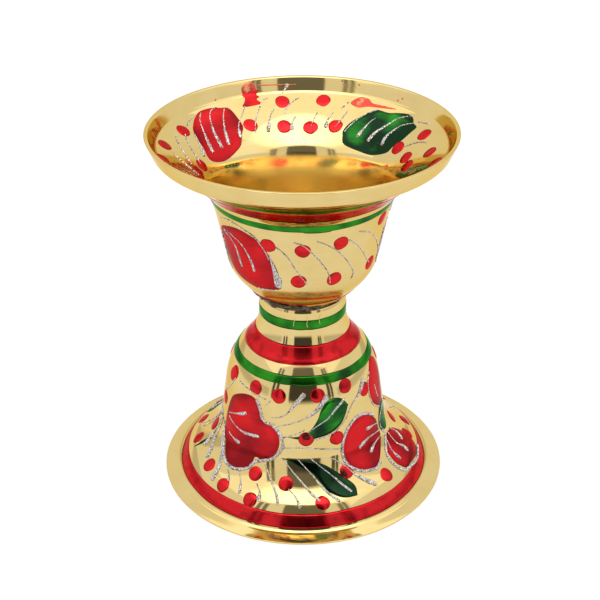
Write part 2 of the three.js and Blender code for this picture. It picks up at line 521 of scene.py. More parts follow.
def spin_section(section):
    """Spins a section of (radius, height) points in millimetres into a closed wall. A
    section that doesn't end on the axis is closed first, and makes a ring."""
    shell = bmesh.new()
    verts = [shell.verts.new(Vector((point.x, 0, point.y)) * MM) for point in section]
    edges = [shell.edges.new(pair) for pair in zip(verts, verts[1:])]
    if section[-1].x > 0:
        edges.append(shell.edges.new((verts[-1], verts[0])))
    bmesh.ops.spin(
        shell,
        geom=verts + edges,
        cent=(0, 0, 0),
        axis=(0, 0, 1),
        angle=math.tau,
        steps=TURNS,
        use_merge=True,
    )
    bmesh.ops.remove_doubles(shell, verts=shell.verts, dist=SAME_PLACE)
    bmesh.ops.recalc_face_normals(shell, faces=shell.faces)
    return shell


def new_object(name, shape, material):
    mesh = bpy.data.meshes.new(name)
    shape.to_mesh(mesh)
    shape.free()
    mesh.materials.append(material)
    made = bpy.data.objects.new(name, mesh)
    bpy.context.scene.collection.objects.link(made)
    return made


def finish_piece(name, shape, material, replaced=()):
    """A piece of the lamp, with its finish, its body and the nodes it stands for."""
    piece = new_object(name, shape, material)
    piece.data.shade_smooth()
    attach(piece, "root")
    if replaced:
        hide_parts(*replaced)
    print(name, "faces:", len(piece.data.polygons))


def bowl_section():
    floor = Vector((0, BASE_HEIGHT + SHEET))
    bottom = Vector((0, BASE_HEIGHT))
    outer, inner = bowl_outside, bowl_inside
    outer_lip = eased(outer[-2], outer[-1], inner[-1], LIP_EASE)
    inner_lip = eased(outer[-1], inner[-1], inner[-2], LIP_EASE)
    return [bottom, *outer[:-1], *outer_lip, *inner_lip, *reversed(inner[:-1]), floor]


def base_section():
    ceiling = Vector((0, BASE_HEIGHT - SHEET))
    top = Vector((0, BASE_HEIGHT))
    outer, inner = base_outside, base_inside
    low_edge = eased(inner[1], inner[0], outer[0], FLANGE_EASE)
    top_edge = eased(inner[0], outer[0], outer[1], FLANGE_EASE)
    return [ceiling, *reversed(inner[1:]), *low_edge, *top_edge, *outer[1:], top]


finish_piece("bowl_shell", spin_section(bowl_section()), brass, ["bowl"])
finish_piece("base_shell", spin_section(base_section()), brass, ["base"])

# %% [markdown]
# Paint is laid on one side of a shell. A painter thinks of a place on it as so far round
# and so far along the metal, so a Wall turns (degrees, millimetres) into a point, with a
# lift off the metal. 0 degrees faces the viewer, and angles grow to the right.

# %% Places on the metal
class Wall:
    """One side of the metal, with places on it as (degrees round, millimetres along)."""

    def __init__(self, points, outwards):
        self.points = points
        self.outwards = outwards
        self.along = [0.0]
        for start, end in zip(points, points[1:]):
            self.along.append(self.along[-1] + (end - start).length)

    def section(self, along):
        """The outline's point there, and the direction that faces away from the metal."""
        i = 1
        while i < len(self.along) - 1 and self.along[i] < along:
            i += 1
        start, end = self.points[i - 1], self.points[i]
        share = (along - self.along[i - 1]) / (self.along[i] - self.along[i - 1])
        step = (end - start).normalized()
        return start.lerp(end, share), Vector((-step.y, step.x)) * self.outwards

    def point(self, degrees, along, lift):
        spot, normal = self.section(along)
        spot = spot + normal * lift
        turn = math.radians(degrees)
        return Vector((spot.x * math.sin(turn), -spot.x * math.cos(turn), spot.y)) * MM

    def across(self, along):
        """Millimetres round the wall for one degree."""
        return math.radians(self.section(along)[0].x)

    def at_height(self, height):
        """How far along the wall a height on it is."""
        for i, (start, end) in enumerate(zip(self.points, self.points[1:])):
            if min(start.y, end.y) <= height <= max(start.y, end.y) and start.y != end.y:
                share = (height - start.y) / (end.y - start.y)
                return self.along[i] + share * (end - start).length
        raise ValueError("no such height on this wall")

    def outward_at(self, spot):
        """The direction away from the metal at the outline point nearest to a spot."""
        here = Vector((Vector((spot.x, spot.y)).length, spot.z)) / MM
        nearest = min(range(len(self.points)), key=lambda i: (self.points[i] - here).length)
        return self.section(self.along[nearest])[1]


bowl_wall = Wall(bowl_outside, -1)
flare_wall = Wall(list(reversed(bowl_inside)), -1)
base_wall = Wall(list(reversed(base_outside)), 1)
for name, wall in (("bowl", bowl_wall), ("flare", flare_wall), ("base", base_wall)):
    print(name, "wall, mm along:", round(wall.along[-1], 1))

# %% [markdown]
# Every painted shape starts as a grid that is laid on the metal: one direction of the
# grid runs along or round the shape and the other across it. Paint stands a tenth of a
# millimetre proud and rounds off at its edge. Solidify then gives the coat its thickness,
# down into the metal, so that each coat is a closed body.

# %% Laying paint
COAT = 0.11


def new_coat():
    """An empty bmesh that keeps, for each point, how near to the coat's edge it is."""
    coat = bmesh.new()
    coat.verts.layers.float.new("edge")
    return coat


def lay(piece, wall, grid, place):
    """Adds a coat to the piece. grid is its columns and rows. place takes two shares from
    0 to 1 and gives (degrees, along, lift, edge), where edge grows to 1 at the border."""
    coat = new_coat()
    edge_of = coat.verts.layers.float["edge"]
    bmesh.ops.create_grid(coat, x_segments=grid[0], y_segments=grid[1], size=0.5)
    for vert in coat.verts:
        degrees, along, lift, edge = place(vert.co.x + 0.5, vert.co.y + 0.5)
        vert.co = wall.point(degrees, along, lift)
        vert[edge_of] = edge
    bmesh.ops.remove_doubles(coat, verts=coat.verts, dist=SAME_PLACE)
    bmesh.ops.recalc_face_normals(coat, faces=coat.faces)
    middle = max(coat.faces, key=lambda face: face.calc_area())
    spot = middle.calc_center_median()
    outward = wall.outward_at(spot)
    facing = Vector((spot.x, spot.y, 0)).normalized() * outward.x + Vector((0, 0, outward.y))
    if middle.normal.dot(facing) < 0:
        bmesh.ops.reverse_faces(coat, faces=coat.faces)
    bmesh.ops.solidify(coat, geom=coat.faces[:], thickness=COAT * MM)
    patch = bpy.data.meshes.new("patch")
    coat.to_mesh(patch)
    coat.free()
    piece.from_mesh(patch)
    bpy.data.meshes.remove(patch)


# %% [markdown]
# The bands are painted on a turntable: the brush is held still and the lamp turns. So
# they are nearly true rings, with edges that wander a little and, on one of them, a lap
# where the brush came off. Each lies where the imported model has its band.

# %% Bands
BAND_GRID = (240, 8)
WANDER = 0.14
LAP_PLACE = 9.0
LAP_REACH = 9.0
GREEN_LAP = 0.5


def wander(degrees, seed):
    turn = math.radians(degrees)
    spot = Vector((math.cos(turn), math.sin(turn), seed))
    return WANDER * (noise.noise(spot * 1.5) + 0.5 * noise.noise(spot * 7.0))


def band_piece(wall, low, high, seed, lap):
    """A ring of paint between two heights. lap is how much wider it is where it ends."""
    start, end = wall.at_height(low), wall.at_height(high)

    def place(round_share, across_share):
        degrees = 360.0 * round_share - 180.0
        at_lap = max(0.0, 1 - abs(degrees - LAP_PLACE) / LAP_REACH) ** 0.3
        low_edge = start + wander(degrees, seed) - math.copysign(lap * at_lap, end - start)
        high_edge = end + wander(degrees, seed + 5.0)
        edge = abs(2 * across_share - 1)
        lift = COAT * (1 - edge**6)
        return degrees, low_edge + (high_edge - low_edge) * across_share, lift, edge

    piece = new_coat()
    lay(piece, wall, BAND_GRID, place)
    return piece


RED_BAND = (red_dab, "red_lacquer")
GREEN_BAND = (green_lacquer, "green_lacquer")
BANDS = [
    ("bowl_red_coat", "bowl_red_band", bowl_wall, RED_BAND, 0.0),
    ("bowl_green_coat", "bowl_green_band", bowl_wall, GREEN_BAND, GREEN_LAP),
    ("bowl_foot_coat", "bowl_foot_red_line", bowl_wall, RED_BAND, 0.0),
    ("neck_green_coat", "neck_green_band", base_wall, GREEN_BAND, 0.0),
    ("shoulder_red_coat", "shoulder_red_band", base_wall, RED_BAND, 0.0),
    ("shoulder_green_coat", "shoulder_green_band", base_wall, GREEN_BAND, 0.0),
    ("foot_red_coat", "foot_red_band", base_wall, RED_BAND, 0.0),
]
for seed, (name, node, wall, (paint, slot), lap) in enumerate(BANDS):
    low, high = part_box(node)
    band = band_piece(wall, low.z / MM, high.z / MM, seed * 3.1, lap)
    finish_piece(name, band, paint, [node])

# %% [markdown]
# The two shells are soldered together by hand, so the bead is not a true ring: it is fat
# here and thin there, thinnest on the right, and has run down in places. It is spun like
# the shells, and then its outer face is pushed about by noise. The part of it between the
# shells keeps its place.

# %% Solder bead
BEAD_BACK = (12.0, BASE_HEIGHT + 0.6)
BEAD_FOOT = (12.8, BASE_HEIGHT - 0.5)
BEAD_BULGE = (14.7, BASE_HEIGHT + 1.0)
BEAD_TOP = (15.9, BASE_HEIGHT + 2.9)
BEAD_STEP = 0.3
BEAD_HIDDEN = 12.2
BEAD_SWELL = 0.55
BEAD_LUMPS = 0.3
BEAD_THINNING = 1.1
BEAD_RUN = 1.1


def held(share):
    return min(max(share, 0.0), 1.0)


def solder_bead():
    face = [*run(BEAD_FOOT, BEAD_BULGE, BEAD_STEP), *run(BEAD_BULGE, BEAD_TOP, BEAD_STEP)]
    bead = spin_section([Vector(BEAD_BACK), Vector(BEAD_FOOT), *face])
    for vert in bead.verts:
        radius = math.hypot(vert.co.x, vert.co.y) / MM
        outer = held(radius - BEAD_HIDDEN)
        spot = vert.co / MM
        swell = BEAD_SWELL * noise.noise(spot * 0.28) + BEAD_LUMPS * noise.noise(spot * 1.1)
        swell -= BEAD_THINNING * held((spot.x - 1.0) / 8.0)
        run_down = BEAD_RUN * max(0.0, noise.noise(Vector((spot.x * 0.3, spot.y * 0.3, 7.0))))
        vert.co.x *= 1 + outer * swell / radius
        vert.co.y *= 1 + outer * swell / radius
        if spot.z < BEAD_BULGE[1]:
            vert.co.z -= outer * run_down * MM
    return bead


finish_piece("solder_bead", solder_bead(), solder, ["solder_joint"])

# %% [markdown]
# A painted line is a smooth curve through a few places. Line measures it in millimetres
# on the metal, because a degree is longer where the lamp is wider, and gives the place
# and the direction at any share of its length.

# %% Lines on the metal
CURVE_STEPS = 8


def curve_through(points, closed):
    """A smooth line through a few places."""
    spots = [Vector(point) for point in points]
    count = len(spots)

    def at(i):
        return spots[i % count] if closed else spots[min(max(i, 0), count - 1)]

    line = []
    for i in range(count if closed else count - 1):
        before, start, end, after = at(i - 1), at(i), at(i + 1), at(i + 2)
        for step in range(CURVE_STEPS):
            t = step / CURVE_STEPS
            straight = 2 * start + (end - before) * t
            turning = (2 * before - 5 * start + 4 * end - after) * t * t
            easing = (3 * start - before - 3 * end + after) * t**3
            line.append((straight + turning + easing) / 2)
    line.append(spots[0] if closed else spots[-1])
    return line


class Line:
    """A line drawn on a wall, measured in millimetres."""

    def __init__(self, wall, points, closed=False):
        self.wall = wall
        self.spots = curve_through(points, closed)
        self.reach = [0.0]
        for start, end in zip(self.spots, self.spots[1:]):
            self.reach.append(self.reach[-1] + self.step(start, end).length)

    def step(self, start, end):
        """From one place to another, as millimetres round and along."""
        across = self.wall.across((start.y + end.y) / 2)
        return Vector(((end.x - start.x) * across, end.y - start.y))

    def at(self, share):
        distance = held(share) * self.reach[-1]
        i = bisect.bisect_left(self.reach, distance, 1, len(self.reach) - 1)
        gap = self.reach[i] - self.reach[i - 1]
        return self.spots[i - 1].lerp(self.spots[i], (distance - self.reach[i - 1]) / gap)

    def heading(self, share):
        return self.step(self.at(share - 0.03), self.at(share + 0.03)).normalized()


# %% [markdown]
# Freehand painting needs four tools. A blob is a shape filled from its outline inwards,
# for petals. A blade is the space between two edges, for leaves. A stroke is a line
# squeezed from a cone: thin where it starts and swelling into a drop where the hand
# stops. A dot is one touch of a round brush. Each keeps to the wall it is painted on.

# %% Brush tools
DOT_RADIUS = 2.3
FINE_LINE = 0.42
DROP = 1.35
LINE_LIFT = 0.12
LINE_ROUNDNESS = 0.25
RAGGEDNESS = 0.25
DOT_WOBBLE = 0.1
BLOB_GRID = (72, 7)
BLADE_GRID = (40, 8)
STROKE_GRID = (26, 6)
DOT_GRID = (24, 4)


def blob(piece, wall, outline, grid=BLOB_GRID, layer=0):
    """A filled shape, thick in the middle and rounded off at its outline. layer is how
    many coats lie under it."""
    border = Line(wall, outline, closed=True)
    middle = sum((Vector(point) for point in outline), Vector((0, 0))) / len(outline)

    def place(round_share, out_share):
        out = 1 - (1 - out_share) ** 2
        spot = middle.lerp(border.at(round_share), out)
        return spot.x, spot.y, COAT * (1 + layer) * (1 - out**8), out

    lay(piece, wall, grid, place)


def blade(piece, wall, upper, lower):
    """The space between two edges that meet at both ends."""
    first, second = Line(wall, upper), Line(wall, lower)

    def place(length_share, across_share):
        spot = first.at(length_share).lerp(second.at(length_share), across_share)
        edge = abs(2 * across_share - 1)
        return spot.x, spot.y, COAT * (1 - edge**8), edge

    lay(piece, wall, BLADE_GRID, place)


def stroke(piece, wall, points, thin=FINE_LINE, fat=None):
    """A squeezed line. fat is the width of the drop that it ends in."""
    line = Line(wall, points)
    length = line.reach[-1]
    fat = fat or thin
    seed = points[0][0] * 0.37 + points[0][1]

    def place(length_share, across_share):
        even = 0.5 - 0.5 * math.cos(math.pi * length_share)
        share = 0.3 * length_share + 0.7 * even
        swell = held((share - 0.35) / 0.5)
        width = thin + (fat - thin) * swell * swell * (3 - 2 * swell)
        near_end = min(min(share, 1 - share) * length / (width / 2), 1.0)
        cap = math.sqrt(1 - (1 - near_end) ** 2)
        side = 2 * across_share - 1
        ragged = 1 + RAGGEDNESS * noise.noise(Vector((share * length * 1.6, side, seed)))
        offset = side * width / 2 * cap * ragged
        spot, heading = line.at(share), line.heading(share)
        degrees = spot.x - heading.y * offset / wall.across(spot.y)
        lift = (LINE_LIFT + LINE_ROUNDNESS * width) * math.sqrt(max(1 - side * side, 0)) * cap
        return degrees, spot.y + heading.x * offset, lift, abs(side)

    lay(piece, wall, STROKE_GRID, place)


def dot(piece, wall, degrees, along, radius):
    """One touch of a round brush, never quite round."""
    across = wall.across(along)
    seed = degrees * 0.7 + along

    def place(round_share, out_share):
        turn = math.tau * round_share
        out = 1 - (1 - out_share) ** 2
        side, up = math.cos(turn), math.sin(turn)
        wobble = 1 + DOT_WOBBLE * noise.noise(Vector((side, up, seed)))
        reach = radius * wobble * out
        lift = 2 * COAT * (1 - out**6)
        return degrees + side * reach / across, along + up * reach, lift, out

    lay(piece, wall, DOT_GRID, place)


# %% [markdown]
# A painted piece is a list of jobs, each a brush tool and what it is given. Lists of
# places can be moved round the lamp, so that a motif is drawn once and painted again
# wherever it repeats.

# %% Painting a piece
def moved(points, degrees):
    return [(place + degrees, along) for place, along in points]


def all_moved(lines, degrees):
    return [moved(line, degrees) for line in lines]


def drops(wall, lines, fat=DROP):
    return [(stroke, wall, points, FINE_LINE, fat) for points in lines]


def fine_lines(wall, lines, width=FINE_LINE):
    return [(stroke, wall, points, width) for points in lines]


def dots(wall, places, radius=DOT_RADIUS):
    return [(dot, wall, degrees, along, radius) for degrees, along in places]


def painted(name, material, jobs):
    piece = new_coat()
    for tool, *given in jobs:
        tool(piece, *given)
    finish_piece(name, piece, material)


# %% [markdown]
# The green band on the neck has been scratched through to the metal by the soldering
# iron. The scratches are drawn as thin lines of brass.

# %% Scratches on the neck
SCRATCH_WIDTH = 0.24
SCRATCHES = [
    [(-10, 2.9), (-11.5, 4.3), (-12, 5.6)],
    [(5, 2.3), (6, 3.6), (5, 4.8), (6.5, 6)],
    [(23, 2.1), (21.5, 3.6), (22.5, 5.4)],
]
painted("neck_scratches", brass, fine_lines(base_wall, SCRATCHES, SCRATCH_WIDTH))

# %% [markdown]
# The base carries the main picture: a big red petal on the left, a group of red petals on
# the right, two green leaves between them, and red dots all round. Places are (degrees,
# millimetres down from the top of the neck), read off the photograph through the camera.
# The side that the photograph does not show repeats the right-hand group. A blob suits
# petals, because the paint of a real one is floated on and thickest in its middle.

# %% Petals on the base
LEFT_PETAL = [
    (-69, 42.5), (-67, 38.5), (-63, 34.5), (-55.5, 32), (-48, 30.5), (-40.5, 30), (-35.5, 31),
    (-33, 33), (-29.5, 36.5), (-25, 37), (-21, 38), (-17, 40.5), (-16.5, 44), (-19, 47),
    (-23.5, 49), (-29, 50), (-33, 49.5), (-34, 51.5), (-36, 53.5), (-40, 54.5), (-46, 55.5),
    (-52, 55), (-57, 53.5), (-63, 50.5), (-70, 48),
]
RIGHT_PETAL = [
    (50, 38), (40, 38), (33.5, 40), (30, 43), (28.5, 46.5), (28.5, 49.5), (30.5, 52),
    (35, 54), (40.5, 55.5), (46.5, 56), (52, 55), (57, 53), (63, 50.5), (65.5, 49),
    (64.5, 45.5), (61.5, 42.5), (56, 40),
]
FAR_PETAL = [
    (70, 51.5), (65, 53), (61.5, 54.5), (60.5, 57.5), (61, 60.5), (64, 63), (70, 63.5),
    (78.5, 64.5), (83, 64.5), (87, 62.5), (88.5, 60), (88.5, 57), (83, 53), (76, 51.5),
]
UPPER_PETAL = [
    (72.5, 23.5), (64, 26), (58, 29.5), (58, 33.5), (62.5, 37.5), (72.5, 40.5), (81.5, 39.5),
    (84, 35), (85, 30), (84, 26.5), (79, 24),
]
BACK = 118.0

painted("base_petals", red_lacquer, [
    (blob, base_wall, LEFT_PETAL),
    (blob, base_wall, RIGHT_PETAL),
    (blob, base_wall, FAR_PETAL),
    (blob, base_wall, UPPER_PETAL),
    *[(blob, base_wall, moved(petal, BACK)) for petal in (RIGHT_PETAL, FAR_PETAL, UPPER_PETAL)],
])

# %% [markdown]
# The leaves are pulled out to a point with a loaded brush, dark where the paint pools, so
# each is drawn by its two edges. The bud that joins the petals is a green blob.

# %% Leaves on the base
LEAF_HIGH_TOP = [
    (-11, 40.6), (-5, 40.3), (0, 39.7), (3, 39), (7, 37), (10.5, 34.5), (13, 31.5), (18, 29),
    (24, 28.5), (30, 29.5), (34.5, 32),
]
LEAF_HIGH_LOW = [
    (-11, 40.6), (-4, 41.1), (2, 41.3), (8, 41), (18.5, 40), (26.5, 38), (31, 35.5), (34.5, 32),
]
LEAF_LOW_TOP = [
    (-15, 48), (-8, 48), (2, 48.5), (11.5, 49.5), (19, 52), (25.5, 55.5), (29, 58.5), (28, 61.5),
]
LEAF_LOW_LOW = [
    (-15, 48), (-7.5, 49), (0.5, 51), (6, 52.5), (10, 55.5), (14, 58.5), (20.5, 61), (28, 61.5),
]
BUD = [(85, 42.5), (79, 40), (71, 40.5), (66.5, 44), (67, 47.5), (71, 49.5), (78, 50), (85, 47)]
SMALL_LEAF_TOP = [(-79.5, 56), (-81.5, 58.5), (-81.5, 62)]
SMALL_LEAF_LOW = [(-79.5, 56), (-79.5, 59), (-81.5, 62)]
LEAF_PAIRS = [(LEAF_HIGH_TOP, LEAF_HIGH_LOW), (LEAF_LOW_TOP, LEAF_LOW_LOW)]
LEAF_TURNS = [0.0, 121.0, 219.0]

leaf_jobs = [(blob, base_wall, BUD), (blob, base_wall, moved(BUD, BACK))]
leaf_jobs.append((blade, base_wall, SMALL_LEAF_TOP, SMALL_LEAF_LOW))
for turn in LEAF_TURNS:
    for upper, lower in LEAF_PAIRS:
        leaf_jobs.append((blade, base_wall, moved(upper, turn), moved(lower, turn)))
painted("base_leaves", leaf_lacquer, leaf_jobs)

# %% [markdown]
# Dots are dabbed on last of the reds. Where a dot meets a leaf, red over green is a dark
# maroon, so that part of the dot is a patch of its own.

# %% Dots on the base
BASE_DOTS = [
    (-68.5, 28), (-39, 27), (-18.5, 27.5), (11, 27), (34.5, 26), (52.5, 30), (2, 41),
    (23.5, 42), (-29.5, 54.5), (-10, 55.5), (-44.5, 62), (-27, 62.5), (9.5, 61.5), (27, 53.5),
    (49.5, 60), (-60.5, 60), (-87, 60), (-105.5, 60.5), (-86, 52), (-76.5, 38.5), (-66.5, 27),
    (95.5, 53), (90, 60),
]
HIGH_DOTS = [(degrees, 27.0) for degrees in range(96, 280, 23)]
LOW_DOTS = [(degrees, 61.0) for degrees in range(104, 240, 26)]
OVERLAP_HIGH = [(-1.5, 40), (0.5, 39.3), (3, 39), (5, 40), (5, 41.2), (2.5, 41.3), (-0.5, 41)]
OVERLAP_LOW = [(23.5, 54.2), (25, 55.2), (26.5, 55.3), (27, 54), (25.5, 52.4), (23.5, 52.8)]
OVERLAP_GRID = (24, 4)
ON_DOTS = 2

painted("base_dots", red_dab, dots(base_wall, BASE_DOTS + HIGH_DOTS + LOW_DOTS))
painted("base_overlaps", overlap_lacquer, [
    (blob, base_wall, OVERLAP_HIGH, OVERLAP_GRID, ON_DOTS),
    (blob, base_wall, OVERLAP_LOW, OVERLAP_GRID, ON_DOTS),
])

# %% [markdown]
# Silver glitter goes on over everything: it outlines the petals, fans out between them,
# and each petal has long drops running down its middle.

# %% Glitter on the base
LEFT_OUTLINE = [
    (-37, 30), (-33, 32.5), (-29.5, 36.8), (-25, 37), (-19.5, 38), (-14.5, 41.5), (-13.5, 43.5),
    (-18, 47.5), (-22.5, 49.2), (-28.5, 50.3), (-32, 50.8), (-35, 53.5), (-40, 55.2),
    (-46, 56), (-52, 55.7), (-58, 54), (-64.5, 51), (-71.5, 48),
]
RIGHT_OUTLINE = [
    (60.5, 41), (50, 38), (40.5, 37.5), (32.5, 40), (28.5, 43.5), (27, 47), (28, 51),
    (31, 53), (36, 55), (42, 56), (47, 56.5), (52.5, 55.5),
]
FAR_OUTLINE = [
    (69.5, 51), (60.5, 54.5), (58.5, 57.5), (59, 61), (61.5, 63), (68, 64), (74.5, 65),
    (81, 65), (87.5, 64.5),
]
LEFT_DROPS = [
    [(-65, 41), (-50.5, 38), (-44, 36.5)],
    [(-64.5, 42), (-56.5, 43), (-46, 43.5), (-37.5, 43), (-31.5, 42.5)],
    [(-62.5, 47.5), (-54, 48), (-48, 48)],
]
RIGHT_DROPS = [
    [(64.5, 45), (57.5, 44), (49, 43.5)],
    [(67, 48), (52.5, 47), (45, 47.5), (40.5, 48.5)],
    [(64.5, 49.5), (54.5, 50), (48, 51.5)],
    [(79, 51.5), (83, 55), (80.5, 58)],
    [(74, 51.5), (73.5, 56), (76, 59), (74.5, 61)],
    [(67.5, 52.5), (65, 56), (65.5, 60)],
]
UPPER_STROKE = [(66.5, 31.5), (68, 34.5), (70.5, 37)]
UPPER_OUTLINE = [(64, 26), (57.5, 29.5), (57.5, 33.5), (62, 38), (72, 41)]
FAN_DROPS = [
    [(-80, 44), (-74.5, 52.5), (-69, 56.5), (-66.5, 59.5)],
    [(-74, 46), (-67.5, 50.5), (-56.5, 56), (-53.5, 59.5), (-52, 63)],
    [(-84, 44), (-80, 51), (-76.5, 58.5)],
    [(-27, 57), (-23.5, 59.5), (-22.5, 62.5)],
    [(-23.5, 35), (-13.5, 33.5), (-6, 29.5), (1.5, 26)],
    [(-18.5, 37.5), (-0.5, 34.5), (10, 31.5), (18.5, 27)],
    [(32.5, 36), (38, 32.5), (46, 30), (54, 26.5)],
    [(18, 48), (25.5, 51), (32, 55.5), (36, 58), (41, 61)],
]
THIN_DROPS = [
    [(-48.5, 57), (-45.5, 58), (-43, 60)],
    [(-41, 55), (-36, 58.5), (-33.5, 62)],
    [(-25.5, 50.5), (-20, 54.5), (-14.5, 59), (-12.5, 62.5)],
    [(-14, 48), (-2.5, 54), (6, 59.5), (8.5, 61)],
    [(-8.5, 57), (-4, 59.5), (-1.5, 63)],
    [(-4.5, 47.5), (5, 52.5), (11.5, 57.5), (18.5, 62)],
    [(4.5, 47.5), (17, 53.5), (26, 60)],
    [(3, 39), (9, 37), (17, 35), (24.5, 32), (32, 29.5)],
]
FINE_STROKES = [
    [(-85, 41.5), (-92, 50), (-101.5, 60.5)],
    [(-85, 41.5), (-90, 50), (-96.5, 59.5)],
    [(-14, 44.5), (2, 44), (25.5, 46)],
    [(-14.5, 41), (-5.5, 39.5), (1, 38)],
    [(-62.5, 28), (-67.5, 31.5), (-79, 36.5)],
    [(-57, 28), (-46, 28.5), (-37.5, 29), (-28, 29.5)],
    [(-28.5, 31.5), (-24.5, 29.5)],
    [(7, 41.5), (18, 40.5), (26.5, 38.5), (32.5, 36)],
    [(80, 41.5), (70, 43.5), (68.5, 47), (71.5, 50)],
    [(68, 48.5), (70.5, 50.5), (74.5, 51.5)],
]
LEFT_OUTLINE_WIDTH = 1.1
OUTLINE_WIDTH = 1.05
FAN_DROP = 1.5
THIN_DROP = 0.95
BACK_DROP = 0.9

glitter_jobs = []
for turn in (0.0, BACK):
    outlines = all_moved([RIGHT_OUTLINE, FAR_OUTLINE], turn)
    glitter_jobs += drops(base_wall, all_moved(RIGHT_DROPS, turn))
    glitter_jobs += fine_lines(base_wall, outlines, OUTLINE_WIDTH)
    glitter_jobs += fine_lines(base_wall, all_moved([UPPER_OUTLINE, UPPER_STROKE], turn))
for turn in LEAF_TURNS[1:]:
    glitter_jobs += drops(base_wall, all_moved(THIN_DROPS[3:], turn), BACK_DROP)
glitter_jobs += drops(base_wall, LEFT_DROPS)
glitter_jobs += drops(base_wall, FAN_DROPS, FAN_DROP)
glitter_jobs += drops(base_wall, THIN_DROPS, THIN_DROP)
glitter_jobs += fine_lines(base_wall, [LEFT_OUTLINE], LEFT_OUTLINE_WIDTH)
glitter_jobs += fine_lines(base_wall, FINE_STROKES)
painted("base_glitter", glitter, glitter_jobs)

# %% [markdown]
# Outside the bowl there is one large petal on the left, a row of long curved strokes, and
# dots between them. Places are (degrees, millimetres up from the seat of the cup). The
# back repeats the group once, with a leaf beside it.

# %% Painting on the bowl
BOWL_DROP = 0.9
BOWL_PETAL = [
    (-69, 32), (-69.5, 28), (-69, 23.5), (-62, 19), (-53.5, 17), (-44, 16), (-34, 15.5),
    (-24.5, 16.5), (-17, 17.5), (-15.5, 19.5), (-18, 25), (-22, 29), (-27.5, 33), (-34, 35),
    (-44, 36), (-55, 35),
]
BOWL_TIP = [(-22.5, 30), (-18, 24), (-15, 21), (-16, 18.2), (-20.5, 18.4), (-21.2, 23.5)]
BOWL_DROPS = [
    [(-63, 32.5), (-52, 29.5), (-49, 24), (-48, 22)],
    [(-58, 33), (-45, 31), (-38.5, 27), (-36, 22)],
]
BOWL_STROKES = [
    [(-66.5, 35.5), (-50.5, 37.8), (-38, 36.4), (-31, 34.8), (-24.8, 30.5), (-22.8, 27.5)],
    [(-17.5, 33), (-10.5, 30), (-4.8, 25.3), (-1.5, 23), (3.2, 20)],
    [(-6, 35), (0.2, 34), (6.8, 30.8), (13.2, 27), (18.2, 23.3), (20, 19.4)],
    [(8.5, 35.4), (15.8, 33.5), (25, 30), (33.5, 25.3), (38.8, 21.4), (37.5, 18.8)],
    [(30.5, 34), (40.2, 30.2), (49.5, 25), (54.8, 22.3)],
    [(37.2, 36), (47.5, 34), (58, 30), (69.2, 24)],
    [(-38.5, 15.7), (-28.5, 16.2), (-19.5, 17)],
    [(-70.2, 31), (-71, 25.3), (-70.8, 20.5), (-66.5, 18)],
]
BOWL_DOTS = [
    (-22.5, 33), (0, 32), (25, 33.5), (-3, 21), (23, 21), (57.5, 21.5), (60, 36.5),
]
BOWL_BACK = 142.0
TIP_GRID = (36, 5)
ON_PETAL = 1
BOWL_LEAF_TOP = [(-112, 17), (-121, 20), (-124, 25), (-120, 30), (-110, 34.5)]
BOWL_LEAF_LOW = [(-112, 17), (-104, 20), (-100, 26), (-102, 31), (-110, 34.5)]

painted("bowl_petals", red_lacquer, [
    (blob, bowl_wall, moved(BOWL_PETAL, turn)) for turn in (0.0, BOWL_BACK)
])
painted("bowl_leaf", leaf_lacquer, [
    (blade, bowl_wall, BOWL_LEAF_TOP, BOWL_LEAF_LOW),
])
bowl_dots = dots(bowl_wall, BOWL_DOTS + moved(BOWL_DOTS[:6], BOWL_BACK))
painted("bowl_dots", red_dab, bowl_dots)
bowl_jobs = []
for turn in (0.0, BOWL_BACK):
    bowl_jobs += drops(bowl_wall, all_moved(BOWL_DROPS, turn), BOWL_DROP)
    bowl_jobs += fine_lines(bowl_wall, all_moved(BOWL_STROKES, turn))
    bowl_jobs.append((blob, bowl_wall, moved(BOWL_TIP, turn), TIP_GRID, ON_PETAL))
painted("bowl_glitter", glitter, bowl_jobs)

# %% [markdown]
# Inside the flare, where the viewer looks in from the front, the far side shows a red
# petal, a green leaf and dots. Places are (degrees, millimetres down from the rim), and
# 180 degrees is the far side. The near side repeats the petal and the leaf, with dots of
# its own. On the far lip a blot and a wiped smear of red have run over the edge.

# %% Painting in the flare
FLARE_PETAL = [
    (-121.5, 9), (-125, 7.5), (-130, 6), (-136, 6), (-141, 7), (-145, 8), (-146.5, 12),
    (-147, 15.5), (-144, 18), (-140.5, 21), (-135, 22.5), (-127.5, 23.5), (-120, 23.5),
    (-112.5, 22), (-110.5, 20), (-113.5, 17), (-116, 13), (-118.5, 10.5),
]
FLARE_LEAF = [
    (155.5, 19.5), (156, 18), (153.5, 15), (150, 12.5), (146, 10), (143, 8.5), (137, 8.5),
    (132.5, 7.5), (127, 6.5), (123, 7), (120, 8.5), (116.5, 9), (116.5, 11.5), (117, 15),
    (119, 18), (120, 20.5), (126, 22.5), (132.5, 23.5), (141, 23.5), (149.5, 23), (154, 22),
]
FLARE_PETAL_DROPS = [
    [(-130.5, 6.5), (-126.5, 9), (-121.5, 14.5), (-117, 20)],
    [(-140, 6.5), (-136, 7), (-132.5, 9.5), (-128.5, 14.5), (-126, 20)],
    [(-143, 7.5), (-139.5, 10.5), (-135.5, 15), (-132, 20)],
    [(-147, 13), (-144, 15.5), (-142, 19)],
    [(-117, 11.5), (-114, 15), (-108.5, 19)],
]
FLARE_LEAF_DROPS = [
    [(141, 11.5), (143, 13.5), (144.5, 16.5), (146, 19.5)],
    [(124, 6.5), (129.5, 9), (133, 13), (136.5, 16.5), (138, 20)],
    [(120, 8.5), (125, 11), (127.5, 14.5), (128.5, 17), (127, 19.5)],
]
